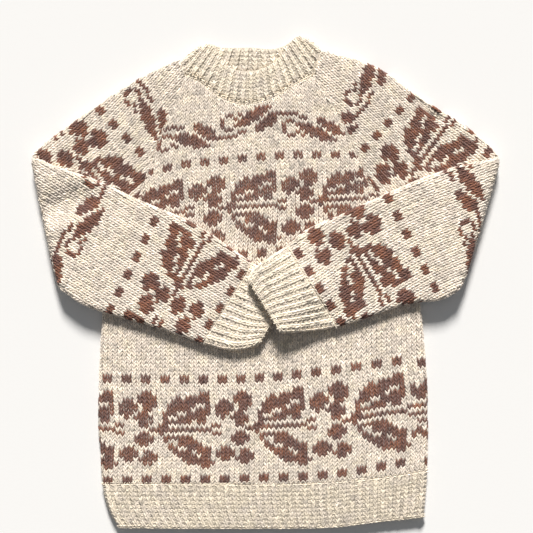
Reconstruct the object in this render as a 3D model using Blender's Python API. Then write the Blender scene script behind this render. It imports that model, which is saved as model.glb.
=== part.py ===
"""Hand-knitted raglan pullover, laid flat and face up with both sleeves folded in over the front.

Lengths are in millimetres and become metres in the scene. X runs across the body, Y up to the neck
and Z up off the floor. Left and right are as seen from above. The front, the back and each sleeve
are walls of cloth around a thin layer of air, and the forearms lie on the front.
"""

import math

import bmesh
import bpy
import numpy as np

MM = 0.001

# Cloth, in millimetres
WALL = 4.5
AIR = 3.0
FLAT = 2 * WALL + AIR
HALF = FLAT / 2
INNER_TURN = AIR / 2
REST = 0.3
SEAM_INSET = 0.35
SEAM_ROUND = 1.6
FOLD_GAP = 1.2

# Ribbing, in millimetres and in ribs
RIB_DEPTH = 1.0
HEM_RIBS = 40
CUFF_RIBS = 10
COLLAR_WALL = 6.0
COLLAR_FRONT_RIBS = 21
COLLAR_BACK_RIBS = 14

# The collar's face from the neck to the folded edge: share of its height, share of its half wall
COLLAR_PROFILE = ((0, 1), (0.35, 1), (0.7, 1), (0.93, 0.87), (0.985, 0.5))

# Mesh density, in steps
CURVE_STEPS = 23
BODY_COLUMNS = 18
BODY_ROWS = 24
HEM_ROWS = 3
HEM_BACK_COLUMNS = 16
CUFF_SHARES = (0.27, 0.5, 0.75)
ARM_STEPS = 12
UPPER_STEPS = 7
FOLD_STEPS = 4
FOREARM_STEPS = 9
EDGE_STEPS = 4
LOBE_STEPS = 4
SIDE_INSETS = (0, 0.6, 2.0, 4.2, 7.0)
END_INSETS = (0, 1.4)
SEAM_SHRINK = 1.2
SEAM_RUN = 2.0

# Shares of an arm's length over which its soft folds fade in, and the forearm settles down
CREASE_FADE = 0.25
SETTLE_FADE = 0.2

# Middle of the garment's outline, which becomes the origin
CENTRE = (0.1, -1.4)

# Outline of the body, as x, y points from the hem seam up to the neck
SIDE_LEFT = ((-245, -304), (-251, -209), (-249, -120), (-244, -46), (-236, 21))
SIDE_RIGHT = ((243, -285), (244, -209), (240, -110), (234, -46), (232, 24))
RAGLAN_LEFT = ((-236, 21), (-184, 136), (-163, 205), (-134, 266), (-118, 306))
RAGLAN_RIGHT = ((232, 24), (159, 141), (127, 211), (98, 270), (70, 307))
NECK_FRONT = (
    (-118, 306), (-101, 300), (-84, 287), (-61, 272), (-36, 265),
    (-11, 267), (22, 281), (47, 296), (70, 307),
)
NECK_BACK = ((-118, 306), (-24, 298), (70, 307))
HEM_SEAM = ((-245, -304), (-100, -305), (60, -304), (160, -297), (243, -285))
HEM_EDGE = ((-221, -370), (-100, -371), (10, -371), (105, -369), (170, -361), (238, -354))
HEM_LEFT = ((-221, -370), (-231, -354), (-241, -329), (-245, -304))
HEM_RIGHT = ((238, -354), (241, -318), (243, -285))

# Collar band, as x, y points along its upper edge, from its left fold to its right fold
COLLAR_TOP_FRONT = (
    (-94, 352), (-86, 357), (-76, 352), (-67, 338), (-57, 324), (-42, 317),
    (-22, 316), (0, 322), (16, 332), (29, 347), (38, 361), (49, 369), (57, 364),
)
COLLAR_TOP_BACK = (
    (-94, 352), (-86, 358), (-70, 354), (-24, 353), (22, 353), (38, 362), (49, 369), (57, 364),
)
LOBE_LEFT = {"base": (-126, 326), "top": (-94, 352)}
LOBE_RIGHT = {"base": (82, 344), "top": (57, 364)}

# Sleeves, as x, y points. "upper" curves run from the shoulder to the elbow fold, "lower" curves
# from the fold to the cuff seam and "cuff" curves from the seam to the bound-off end.
# The head and the fold run from the sleeve's top edge to its underarm edge.
SLEEVES = {
    "left": {
        "head": ((-131, 333), (-118, 306)),
        "raglan": RAGLAN_LEFT,
        "upper_top": ((-131, 333), (-188, 306), (-248, 268), (-307, 226), (-343, 198)),
        "upper_under": ((-236, 21), (-270, 10), (-305, 2)),
        "fold_upper": ((-343, 198), (-305, 2)),
        "fold_lower": ((-339, 181), (-297, -18)),
        "lower_top": (
            (-339, 181), (-303, 167), (-265, 156), (-188, 120), (-98, 82), (-49, 46), (-19, 27),
        ),
        "lower_under": ((-297, -18), (-277, -34), (-246, -45), (-173, -66), (-94, -93)),
        "cuff_top": ((-19, 27), (12, 8), (41, -13)),
        "cuff_under": ((-94, -93), (-46, -104), (-13, -97)),
    },
    "right": {
        "head": ((84, 347), (70, 307)),
        "raglan": RAGLAN_RIGHT,
        "upper_top": (
            (84, 347), (127, 336), (172, 321), (202, 299), (247, 265), (292, 240), (322, 218), (344, 196),
        ),
        "upper_under": ((232, 24), (262, 14), (287, 7)),
        "fold_upper": ((344, 196), (287, 7)),
        "fold_lower": ((340, 181), (283, -17)),
        "lower_top": (
            (340, 181), (308, 177), (256, 162), (181, 131), (127, 105), (86, 88), (55, 75), (31, 52),
        ),
        "lower_under": ((283, -17), (264, -29), (232, -30), (191, -40), (164, -50), (107, -69)),
        "cuff_top": ((31, 52), (1, 32), (-19, 19), (-27, 4)),
        "cuff_under": ((107, -69), (66, -75), (23, -77)),
    },
}

# Height that the right forearm takes to ride over the left cuff, and how far around it
LIFT = FLAT + REST
LIFT_REACH = 20.0
LIFT_FADE = 48.0

# Largest soft folds. Columns: start x, start y, end x, end y, half width, height
FRONT_CREASES = (
    (5, 252, 75, 287, 13, 2.6),
    (30, 238, 88, 270, 12, -1.8),
    (-60, -255, -30, -180, 26, 1.2),
    (120, -255, 140, -170, 26, 1.0),
)
LEFT_ARM_CREASES = (
    (-190, 285, -215, 190, 16, -1.6),
    (-262, 140, -266, 20, 17, 2.2),
    (-303, 140, -288, 60, 15, -1.9),
    (-150, 80, -165, -40, 22, 1.0),
)
RIGHT_ARM_CREASES = (
    (243, 254, 232, 205, 13, -2.2),
    (170, 290, 190, 200, 16, 1.4),
    (262, 140, 250, 10, 18, 1.6),
    (150, 90, 175, -20, 20, -1.2),
)

CREAM = (0.78, 0.71, 0.58, 1)
WARM_CREAM = (0.80, 0.72, 0.56, 1)


def through(points):
    """A smooth curve through a few points, called with 0 to 1 along its length."""
    points = np.array(points, float)
    steps = np.linalg.norm(np.diff(points, axis=0), axis=1)
    knots = np.concatenate([[0], np.cumsum(steps)]) / steps.sum()
    slopes = np.gradient(points, knots, axis=0)

    def at(t):
        i = int(np.clip(np.searchsorted(knots, t, side="right") - 1, 0, len(points) - 2))
        span = knots[i + 1] - knots[i]
        s = (t - knots[i]) / span
        start = (1 + 2 * s) * (1 - s) ** 2 * points[i] + s * (1 - s) ** 2 * span * slopes[i]
        end = s * s * (3 - 2 * s) * points[i + 1] + s * s * (s - 1) * span * slopes[i + 1]
        return start + end

    return at


def curve_length(curve):
    points = np.array([curve(t) for t in np.linspace(0, 1, CURVE_STEPS + 1)])
    return float(np.linalg.norm(np.diff(points, axis=0), axis=1).sum())


def joined(*curves, corners=None):
    """Curves that follow each other, called as one with 0 to 1.

    corners holds the shares at which one curve gives way to the next, or None to follow their lengths.
    """
    lengths = np.cumsum([curve_length(curve) for curve in curves])
    ends = [0, *(lengths[:-1] / lengths[-1] if corners is None else corners), 1]

    def at(t):
        i = int(np.clip(np.searchsorted(ends, t, side="right") - 1, 0, len(curves) - 1))
        return curves[i]((t - ends[i]) / (ends[i + 1] - ends[i]))

    return at


def moved(points, shift_x, shift_y=0):
    return [(x + shift_x, y + shift_y) for x, y in points]


def patch(start, end, first, second):
    """The flat surface between four curves: start and end run across it, first and second along it."""

    def at(across, along):
        lengthwise = (1 - along) * start(across) + along * end(across)
        crosswise = (1 - across) * first(along) + across * second(along)
        corners_start = (1 - across) * start(0) + across * start(1)
        corners_end = (1 - across) * end(0) + across * end(1)
        return lengthwise + crosswise - (1 - along) * corners_start - along * corners_end

    return at


def smoothstep(x):
    x = min(max(x, 0), 1)
    return x * x * (3 - 2 * x)


def rounding(distance, radius):
    """How far a rounded edge drops below the face, at a distance in from the edge."""
    left = max(radius - distance, 0)
    return radius - math.sqrt(radius * radius - left * left)


def distance_to_segment(point, start, end):
    start, end = np.array(start, float), np.array(end, float)
    run = end - start
    share = np.clip(np.dot(point - start, run) / np.dot(run, run), 0, 1)
    return float(np.linalg.norm(point - start - share * run))


def crease_height(point, creases):
    """Height of the soft folds in the upper layer at a point."""
    total = 0
    for x0, y0, x1, y1, half_width, height in creases:
        away = distance_to_segment(point, (x0, y0), (x1, y1)) / half_width
        total += height * math.exp(-away * away)
    return total


def wool(name, colour):
    """A matt wool material."""
    material = bpy.data.materials.new(name)
    material.use_nodes = True
    shader = material.node_tree.nodes["Principled BSDF"]
    shader.inputs["Base Color"].default_value = colour
    shader.inputs["Roughness"].default_value = 0.95
    shader.inputs["Metallic"].default_value = 0
    return material


def add_piece(name, points, faces, colour):
    """One closed piece of cloth from its points in millimetres and its faces."""
    mesh = bpy.data.meshes.new(name)
    centred = np.array(points) - (*CENTRE, 0)
    mesh.from_pydata([tuple(point) for point in MM * centred], [], faces)
    shape = bmesh.new()
    shape.from_mesh(mesh)
    bmesh.ops.recalc_face_normals(shape, faces=shape.faces)
    shape.to_mesh(mesh)
    shape.free()
    mesh.shade_smooth()
    mesh.materials.append(wool(name, colour))
    piece = bpy.data.objects.new(name, mesh)
    bpy.context.scene.collection.objects.link(piece)
    return piece


def edge_spread(length, steps, insets):
    """Shares from 0 to 1 across a length: close together at both edges and even between them."""
    near = [inset / length for inset in insets]
    middle = np.linspace(near[-1], 1 - near[-1], steps + 1)[1:-1]
    return near + list(middle) + [1 - share for share in reversed(near)]


def add_panel(name, plan, rows, columns_of, height, colour):
    """A panel of one layer. height gives its outer and inner z at a point."""
    outer, inner = [], []
    for along in rows:
        for column, across in enumerate(columns_of(along)):
            x, y = plan(across, along)
            top, bottom = height(column, across, along, np.array([x, y]))
            outer.append((x, y, top))
            inner.append((x, y, bottom))
    wide = len(columns_of(0))
    high = len(rows)
    count = wide * high
    faces = []
    for row in range(high - 1):
        for column in range(wide - 1):
            corner = row * wide + column
            quad = (corner, corner + 1, corner + wide + 1, corner + wide)
            faces.append(quad)
            faces.append(tuple(count + index for index in reversed(quad)))
    rim = [*range(wide), *range(2 * wide - 1, count, wide)]
    rim += [*range(count - 2, count - wide - 1, -1), *range(count - 2 * wide, 0, -wide)]
    for start, end in zip(rim, rim[1:] + rim[:1]):
        faces.append((start, start + count, end + count, end))
    return add_piece(name, outer + inner, faces, colour)


def panel_height(width_of, length, closed_below, creases, rib_depth, turned):
    """Heights of a front panel's faces, or of a back panel's if turned.

    Up to closed_below the sides turn down to half height, where front and back meet. Beyond it,
    and at both ends, the edges are butted seams with a small rounding.
    """

    def height(column, across, along, point):
        to_side = min(across, 1 - across) * width_of(along)
        to_end = min(along, 1 - along) * length
        closed = along < closed_below
        side_drop = rounding(to_side, HALF if closed else SEAM_ROUND)
        drop = max(side_drop, rounding(to_end, SEAM_ROUND))
        valley = rib_depth if column % 2 and to_side > HALF else 0
        lift = crease_height(point, creases)
        seam_face = HALF + REST / 2
        outer = FLAT - drop - valley + lift
        inner = FLAT - WALL + lift
        if closed and to_side < WALL:
            inner = seam_face
            outer = max(outer, seam_face + REST)
        return (FLAT - outer, FLAT - inner) if turned else (outer, inner)

    return height


def body_plan(neck):
    """The body's plan, its raglan and neck edges set in by the seam gap."""
    left = joined(through(moved(SIDE_LEFT, SEAM_INSET)), through(moved(RAGLAN_LEFT, SEAM_INSET)))
    right = joined(through(moved(SIDE_RIGHT, -SEAM_INSET)), through(moved(RAGLAN_RIGHT, -SEAM_INSET)))
    neck_points = moved(neck, 0, -SEAM_INSET)
    neck_points[0] = tuple(left(1))
    neck_points[-1] = tuple(right(1))
    seam_points = moved(HEM_SEAM, 0, SEAM_INSET)
    seam_points[0] = tuple(left(0))
    seam_points[-1] = tuple(right(0))
    return patch(through(seam_points), through(neck_points), left, right)


def add_body_panel(name, neck, creases, turned):
    plan = body_plan(neck)
    side = curve_length(lambda along: plan(0, along))
    side_share = curve_length(through(SIDE_LEFT)) / side

    def width_of(along):
        return curve_length(lambda across: plan(across, along))

    def columns_of(along):
        return edge_spread(width_of(along), BODY_COLUMNS, SIDE_INSETS)

    rows = edge_spread(side, BODY_ROWS, END_INSETS)
    height = panel_height(width_of, side, side_share, creases, 0, turned)
    return add_panel(name, plan, rows, columns_of, height, CREAM)


def add_hem_panel(name, columns, rib_depth, turned):
    """The ribbed band below the body, front or back. Every other column is a rib's valley."""
    edge = through(HEM_EDGE)
    seam = through(moved(HEM_SEAM, 0, -SEAM_INSET))
    left_points, right_points = list(HEM_LEFT), list(HEM_RIGHT)
    left_points[-1] = tuple(seam(0))
    right_points[-1] = tuple(seam(1))
    plan = patch(edge, seam, through(left_points), through(right_points))
    length = curve_length(lambda along: plan(0.5, along))

    def width_of(along):
        return curve_length(lambda across: plan(across, along))

    def columns_of(along):
        return edge_spread(width_of(along), columns, SIDE_INSETS)

    rows = edge_spread(length, HEM_ROWS, END_INSETS)
    height = panel_height(width_of, length, math.inf, (), rib_depth, turned)
    return add_panel(name, plan, rows, columns_of, height, WARM_CREAM)


def ring_samples(width, steps, radius, rib_depth):
    """Points round a flattened tube, as shares across its width and heights in it."""
    even = np.linspace(HALF, width - HALF, steps + 1)[1:-1] / width
    turn = np.linspace(math.pi / 2, -math.pi / 2, EDGE_STEPS + 1)
    ribbed = [radius - rib_depth * (index % 2) for index in range(len(even))]
    over = [(share, HALF + depth) for share, depth in zip(even, ribbed)]
    far = [(1 - (HALF - radius * math.cos(a)) / width, HALF + radius * math.sin(a)) for a in turn]
    under = [(share, HALF - depth) for share, depth in zip(reversed(even), ribbed)]
    near = [((HALF - radius * math.cos(a)) / width, HALF + radius * math.sin(a)) for a in -turn]
    return over + far + under + near


def add_tube(name, stations, steps, rib_depth, colour):
    """A wall of cloth round a thin hollow, open at both ends.

    Each station is (width, shrink, place). place turns a share across the width and a height in
    the tube into a point, and shrink draws the outside in where the cloth meets a seam.
    """
    outer, inner = [], []
    for width, shrink, place in stations:
        for share, height in ring_samples(width, steps, HALF - shrink, rib_depth):
            outer.append(place(share, height))
        for share, height in ring_samples(width, steps, INNER_TURN, 0):
            inner.append(place(share, height))
    count = len(outer)
    around = count // len(stations)
    faces = []
    for station in range(len(stations) - 1):
        for index in range(around):
            here = station * around + index
            beside = station * around + (index + 1) % around
            quad = (here, beside, beside + around, here + around)
            faces.append(quad)
            faces.append(tuple(count + corner for corner in reversed(quad)))
    for first in (0, count - around):
        for index in range(around):
            here = first + index
            beside = first + (index + 1) % around
            faces.append((here, here + count, beside + count, beside))
    return add_piece(name, outer + inner, faces, colour)


def segment(start, end):
    """The straight line between two points."""
    start, end = np.array(start, float), np.array(end, float)
    return lambda share: (1 - share) * start + share * end


def left_cuff_cover():
    """Corners of the left sleeve's end, which the right forearm lies over."""
    plan = SLEEVES["left"]
    return [plan["lower_top"][-2], plan["cuff_top"][-1], plan["cuff_under"][-1], plan["lower_under"][-1]]


def over_left_cuff(point):
    """Extra height of the right forearm, whole near the left cuff and fading out around it."""
    corners = left_cuff_cover()
    crossings = 0
    nearest = math.inf
    for start, end in zip(corners, corners[1:] + corners[:1]):
        nearest = min(nearest, distance_to_segment(point, start, end))
        if (start[1] > point[1]) != (end[1] > point[1]):
            share = (point[1] - start[1]) / (end[1] - start[1])
            crossings += point[0] < start[0] + share * (end[0] - start[0])
    away = 0 if crossings % 2 else nearest
    return LIFT * smoothstep(1 - (away - LIFT_REACH) / LIFT_FADE)


def upper_layer(height, turned):
    """1 in the layer that faces up and 0 in the one below it."""
    rise = (HALF - height) if turned else (height - HALF)
    return min(max(rise / INNER_TURN, 0), 1)


def forearm_place(plan, along, creases, lift_of, ease):
    """Places ring samples on the turned-over forearm, whose back faces up."""

    def place(share, height):
        x, y = point = plan(share, along)
        base = 2 * FLAT + REST - height + ease
        crease = crease_height(point, creases) * upper_layer(height, True)
        return x, y, base + lift_of(point) + crease

    return place


def add_sleeve(side, creases, lift_of, outward):
    """One sleeve tube from its raglan seam, round the elbow fold and back to the cuff seam."""
    plan = SLEEVES[side]
    inset = outward * SEAM_INSET
    head, raglan = through(moved(plan["head"], inset)), through(moved(plan["raglan"], inset)[::-1])
    opening = curve_length(head) + curve_length(raglan)
    corner = (HALF + (opening - 2 * HALF) / ARM_STEPS) / opening
    armhole = joined(head, raglan, corners=[corner])
    upper_top = through([tuple(armhole(0)), *plan["upper_top"][1:]])
    upper_under = through([tuple(armhole(1)), *plan["upper_under"][1:]])
    fold_upper, fold_lower = segment(*plan["fold_upper"]), segment(*plan["fold_lower"])
    upper = patch(armhole, fold_upper, upper_top, upper_under)
    lower_top, lower_under = through(plan["lower_top"]), through(plan["lower_under"])
    seam = segment(plan["lower_top"][-1], plan["lower_under"][-1])
    lower = patch(fold_lower, seam, lower_top, lower_under)

    def width_at(surface, along):
        return curve_length(lambda across: surface(across, along))

    def upper_place(along):
        fade = smoothstep((1 - along) / CREASE_FADE)

        def place(share, height):
            x, y = point = upper(share, along)
            crease = fade * crease_height(point, creases) * upper_layer(height, False)
            return x, y, height + crease

        return place

    run = fold_upper(1) - fold_upper(0)
    run = run / np.linalg.norm(run)
    across_fold = np.array([run[1], -run[0]])
    if across_fold[0] * outward < 0:
        across_fold = -across_fold

    def fold_place(turn):
        def place(share, height):
            mixed = turn / math.pi
            x, y = (1 - mixed) * fold_upper(share) + mixed * fold_lower(share)
            radius = FLAT + FOLD_GAP / 2 - height
            reach = radius * math.sin(turn)
            z = FLAT + FOLD_GAP / 2 - radius * math.cos(turn)
            return x + across_fold[0] * reach, y + across_fold[1] * reach, z

        return place

    stations = []
    length = curve_length(lambda along: upper(0.5, along))
    for along in [0, SEAM_RUN / length, *np.linspace(0, 1, UPPER_STEPS + 1)[1:]]:
        shrink = SEAM_SHRINK if along == 0 else 0
        stations.append((width_at(upper, along), shrink, upper_place(along)))
    for turn in np.linspace(0, math.pi, FOLD_STEPS + 1)[1:-1]:
        mixed_width = width_at(upper, 1) + turn / math.pi * (width_at(lower, 0) - width_at(upper, 1))
        stations.append((mixed_width, 0, fold_place(turn)))
    length = curve_length(lambda along: lower(0.5, along))
    last = 1 - SEAM_INSET / length
    for along in [*np.linspace(0, 1, FOREARM_STEPS + 1)[:-1], last - SEAM_RUN / length, last]:
        ease = (FOLD_GAP - REST) * smoothstep(1 - along / SETTLE_FADE)
        place = forearm_place(lower, along, creases if along else (), lift_of, ease)
        stations.append((width_at(lower, along), SEAM_SHRINK if along == last else 0, place))
    return add_tube(f"sleeve_{side}", stations, ARM_STEPS, 0, CREAM)


def add_cuff(side, lift_of):
    """The ribbed cuff, from its seam to its bound-off end."""
    plan = SLEEVES[side]
    top, under = through(plan["cuff_top"]), through(plan["cuff_under"])
    seam = segment(plan["cuff_top"][0], plan["cuff_under"][0])
    end = segment(plan["cuff_top"][-1], plan["cuff_under"][-1])
    surface = patch(seam, end, top, under)
    length = curve_length(lambda along: surface(0.5, along))
    first = SEAM_INSET / length
    stations = []
    for along in (first, first + SEAM_RUN / length, *CUFF_SHARES, 1 - SEAM_RUN / length, 1):
        width = curve_length(lambda across: surface(across, along))
        shrink = SEAM_SHRINK if along in (first, 1) else 0
        place = forearm_place(surface, along, (), lift_of, 0)
        stations.append((width, shrink, place))
    return add_tube(f"cuff_{side}", stations, 2 * CUFF_RIBS, RIB_DEPTH, WARM_CREAM)


def collar_section(base, top, normal, middle, front_rib, back_rib):
    """The doubled band's section: up its outer face, over its folded edge and down its inner face.

    normal points out of the neck, middle is the height of the band's middle, and the rib values
    set the outer and the inner face in where a rib's valley runs.
    """
    outer, inner = COLLAR_WALL / 2 - front_rib, COLLAR_WALL / 2 - back_rib
    profile = [(share, outer * part) for share, part in COLLAR_PROFILE]
    profile += [(share, -inner * part) for share, part in reversed(COLLAR_PROFILE)]
    run = top - base
    points = []
    for share, offset in profile:
        place = np.array([*(base + share * run), middle]) + offset * normal
        points.append(tuple(place))
    return points


def add_collar():
    """The doubled rib collar as one ring: front wall, right fold, back wall and left fold."""
    low, high = COLLAR_WALL / 2, COLLAR_WALL * 1.5 + REST
    pivot = (low + high) / 2
    swing = (high - low) / 2
    left_base, right_base = LOBE_LEFT["base"], LOBE_RIGHT["base"]
    left_head = moved(SLEEVES["left"]["head"][1:], 2 * SEAM_INSET, SEAM_INSET)
    right_head = moved(SLEEVES["right"]["head"][1:], -2 * SEAM_INSET, SEAM_INSET)

    def base_curve(neck):
        neck_points = moved(neck, 0, SEAM_INSET)
        neck_points[0], neck_points[-1] = left_head[-1], right_head[-1]
        ascent = through([*right_head[::-1], right_base])
        return joined(through([left_base, *left_head]), through(neck_points), ascent)

    sections = []
    walls = (
        (base_curve(NECK_FRONT), through(COLLAR_TOP_FRONT), COLLAR_FRONT_RIBS, high, 1),
        (base_curve(NECK_BACK), through(COLLAR_TOP_BACK), COLLAR_BACK_RIBS, low, -1),
    )
    for base, top, ribs, middle, facing in walls:
        shares = np.linspace(0, 1, 2 * ribs + 1)
        if facing < 0:
            shares = shares[::-1]
        for index, share in enumerate(shares):
            valley = RIB_DEPTH * (index % 2)
            start = base(share)
            end = top(share)
            normal = np.array([0, 0, facing])
            ribs_out, ribs_in = (valley, 0) if facing > 0 else (0, valley)
            sections.append(collar_section(start, end, normal, middle, ribs_out, ribs_in))
        lobe = LOBE_RIGHT if facing > 0 else LOBE_LEFT
        start, end = np.array(lobe["base"], float), np.array(lobe["top"], float)
        run = (end - start) / np.linalg.norm(end - start)
        sideways = np.array([run[1], -run[0]]) * facing
        for step in range(1, LOBE_STEPS):
            turn = math.pi * step / LOBE_STEPS
            lean = sideways * math.sin(turn)
            rise = facing * math.cos(turn)
            normal = np.array([*lean, rise])
            shift = swing * lean
            middle_here = pivot + swing * rise
            sections.append(collar_section(start + shift, end + shift, normal, middle_here, 0, 0))
    points = [point for section in sections for point in section]
    size = len(sections[0])
    faces = []
    for index in range(len(sections)):
        here = index * size
        there = (index + 1) % len(sections) * size
        for corner in range(size):
            beside = (corner + 1) % size
            faces.append((here + corner, here + beside, there + beside, there + corner))
    return add_piece("collar", points, faces, WARM_CREAM)


def main():
    for old in list(bpy.data.objects):
        bpy.data.objects.remove(old)

    add_body_panel("body_back", NECK_BACK, (), True)
    add_body_panel("body_front", NECK_FRONT, FRONT_CREASES, False)
    add_hem_panel("hem_back", HEM_BACK_COLUMNS, 0, True)
    add_hem_panel("hem_front", 2 * HEM_RIBS, RIB_DEPTH, False)
    add_sleeve("left", LEFT_ARM_CREASES, lambda point: 0, -1)
    add_sleeve("right", RIGHT_ARM_CREASES, over_left_cuff, 1)
    add_cuff("left", lambda point: 0)
    add_cuff("right", over_left_cuff)
    add_collar()


main()
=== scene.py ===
"""Looks of a hand-knitted raglan pullover that lies flat with both sleeves folded in over the front.

Each CAD node becomes a softly rounded wall of cloth, and every stitch that can be seen is a loop of
yarn on it. Tables are in millimetres, in the frame of the CAD, and left and right are as seen from
above. C counts stitches across the knitting and R counts rows up it, from the rib to the shoulder.
"""

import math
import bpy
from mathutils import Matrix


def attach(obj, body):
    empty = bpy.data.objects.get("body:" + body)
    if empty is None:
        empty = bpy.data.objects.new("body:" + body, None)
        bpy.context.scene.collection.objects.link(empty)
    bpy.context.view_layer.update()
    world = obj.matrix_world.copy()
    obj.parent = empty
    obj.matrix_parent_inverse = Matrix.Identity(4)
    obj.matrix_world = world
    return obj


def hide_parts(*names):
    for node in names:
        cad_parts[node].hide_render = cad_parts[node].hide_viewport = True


bl_info = {
    "name": "Hand-knitted raglan pullover",
    "version": (1, 0, 0),
    "blender": (4, 5, 0),
    "location": "View3D > Sidebar > Pullover",
    "description": "Dresses a folded pullover in knitted stitches, ribbing and wool",
    "category": "Object",
}

import bmesh
import bpy
import numpy as np
from bpy.props import FloatProperty, FloatVectorProperty, IntProperty, PointerProperty
from mathutils import Matrix, Vector
from mathutils.bvhtree import BVHTree
from mathutils.kdtree import KDTree

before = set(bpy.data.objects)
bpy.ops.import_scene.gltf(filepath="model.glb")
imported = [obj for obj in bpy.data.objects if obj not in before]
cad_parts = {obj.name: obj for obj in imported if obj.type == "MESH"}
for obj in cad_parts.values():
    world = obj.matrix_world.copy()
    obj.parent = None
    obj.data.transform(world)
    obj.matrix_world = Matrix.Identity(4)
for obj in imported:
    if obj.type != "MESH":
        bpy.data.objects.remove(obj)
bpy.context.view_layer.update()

MM = 0.001
UP = Vector((0, 0, 1))

# Thickness of the flattened garment and radius of its turned edges, in millimetres
FLAT = 12.0
HALF = FLAT / 2
FOLD_RADIUS = 12.6
# Heights between the upper arm and the forearm, and between the back and the front of the collar
LAYER_SPLIT = 16.0
COLLAR_SPLIT = 8.5
# Part of the gap under a forearm, and a height above all cloth
LAYER_GAP = 0.2
SKY = 1000.0
FLOOR_DROP = 0.4
CENTRE = np.array((0.1, -1.4))

# Middle of the view on the floor, in millimetres
VIEW_CENTRE = (1.4, 23.2)

# Samples along one curve of a chain, and along an edge or a seam
CHAIN_SAMPLES = 24
EDGE_SAMPLES = 40

# Usual stitch and row, and the chain of a bound-off edge, in millimetres
STITCH = 7.3
ROW = 5.9
EDGE_PITCH = 6.6
EDGE_WIDTH = 5.4
EDGE_STITCHES = 80
# Where the chain lies, as shares of the hem's height and of the cuff's length
HEM_CHAIN = 0.02
CUFF_CHAIN = 0.97

# C and R that are tried, of which those off the cloth are dropped
BODY_C = (-13, 61)
BODY_R = (-3, 114)
SLEEVE_C = (-27, 27)
SLEEVE_R = (-3, 72)
# How far round its turned edges each part is knitted, in degrees
BODY_TURN = 80.0
FOREARM_TURN = 130.0
UPPER_TURN = 110.0
CUFF_TURN = 120.0

# Ribs, counted across each piece, and their rows
HEM_RIBS = 40
HEM_ROWS = 11
HEM_INSET = 7.0
CUFF_RIBS = 10
CUFF_ROWS = 12
COLLAR_FRONT_RIBS = 21
COLLAR_BACK_RIBS = 14
COLLAR_ROWS = 8
# Part of a row left free at the collar's folded edge, and columns tried past the ribs' ends
COLLAR_ROOM = 0.6
RIB_SPARE = 3
# Widths of knit and purl stitches as shares of a column, lean of their legs, and sink of purl stitches
RIB_SHARE = 0.8
PURL_SHARE = 0.42
RIB_LEAN = 0.26
PURL_SINK = 0.55
HEM_PURL_SINK = 0.5

# Lean of a leg's foot, knee and head as shares of the whole lean, and thickness of its tips as a share
LEG_BENDS = (0.12, 0.62, 1.0)
LEG_TIP = 0.6

# Seams, in millimetres: spacing and width of a stitch, reach to the cloth on each side, and sink
SEAM_PITCH = 5.2
SEAM_WIDTH = 6.4
SEAM_REACH = 3.2
SEAM_SINK = 0.6

# Brightness of the hem's wool beside that of the cuffs and the collar: painted shade, as the low hem catches
# less light than the raised cuffs and collar
SHADED_HEM_BRIGHTNESS = 0.86
# Shares of the second wool, and how sharply the two part
RUST_SHARE = 0.35
WARM_SHARE = 0.15
PATCH_CONTRAST = 3.5
# Noise in the wool, as scale and detail, and the flecks' contrast and least brightness
PATCH_NOISE = (60.0, 3.0)
FLECK_NOISE = (520.0, 4.0)
FUZZ_NOISE = (900.0, 3.0)
FLECK_RANGE = (1.3, 0.36)
# Depth of the bumps in metres, and the fuzz's share of the cloth's
YARN_BUMP = 0.0012
CLOTH_BUMP = 0.0022
FUZZ_SHARE = 0.25
# Reach of a stitch's colour in the cloth, and height over which a fold fades in, in millimetres
TINT_REACH = 8.0
FOLD_FADE = 3.0

# Rays to the cloth, in millimetres: start of those from above, start and reach of those at a turned edge
CAST_HEIGHT = 200.0
TURN_START = 6.0
TURN_REACH = 14.0
# Directions from which a stitch is looked for, and the start and reach of that look in millimetres
SIGHT_RISES = (math.radians(28), math.radians(58))
SIGHT_TURNS = 8
SIGHT_START = 2.2
SIGHT_REACH = 400.0
# Least cosine between a stitch's normal and the direction from which it is seen
LEAST_FACING = -0.2

# Columns in the numbers of a stitch
PLACE, TURN, SIZE, WIDTH, MOTIF = slice(0, 3), slice(3, 7), slice(7, 9), 7, 9

# Inputs of the stitch tree, of which those between the first and the last are settings of the yarn
STITCH_INPUTS = (
    ("Points", "Geometry"), ("Leg Width", "Float"), ("Leg Depth", "Float"), ("Reach", "Float"),
    ("Lean", "Float"), ("Sink", "Float"), ("Sides", "Int"), ("Steps", "Int"), ("Wobble", "Float"),
    ("Seed", "Int"), ("Material", "Material"),
)

# Outlines, as x, y points before CENTRE is taken off
SIDE_LEFT = ((-245, -304), (-251, -209), (-249, -120), (-244, -46), (-236, 21))
SIDE_RIGHT = ((243, -285), (244, -209), (240, -110), (234, -46), (232, 24))
RAGLAN_LEFT = ((-236, 21), (-184, 136), (-163, 205), (-134, 266), (-118, 306))
RAGLAN_RIGHT = ((232, 24), (159, 141), (127, 211), (98, 270), (70, 307))
HEM_SEAM = ((-245, -304), (-100, -305), (60, -304), (160, -297), (243, -285))
HEM_EDGE = ((-221, -370), (-100, -371), (10, -371), (105, -369), (170, -361), (238, -354))
HEM_LEFT = ((-221, -370), (-231, -354), (-241, -329), (-245, -304))
HEM_RIGHT = ((238, -354), (241, -318), (243, -285))
NECK_FRONT = (
    (-118, 306), (-101, 300), (-84, 287), (-61, 272), (-36, 265), (-11, 267), (22, 281), (47, 296), (70, 307),
)
NECK_BACK = ((-118, 306), (-24, 298), (70, 307))
COLLAR_TOP_FRONT = (
    (-94, 352), (-86, 357), (-76, 352), (-67, 338), (-57, 324), (-42, 317),
    (-22, 316), (0, 322), (16, 332), (29, 347), (38, 361), (49, 369), (57, 364),
)
COLLAR_TOP_BACK = (
    (-94, 352), (-86, 358), (-70, 354), (-24, 353), (22, 353), (38, 362), (49, 369), (57, 364),
)
COLLAR_LEFT = ((-126, 326), (-118, 306))
COLLAR_RIGHT = ((70, 307), (82, 344))
SHOULDER_LEFT = (*COLLAR_LEFT, (-114, 296))
SHOULDER_RIGHT = ((65, 297), *COLLAR_RIGHT)

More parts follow.
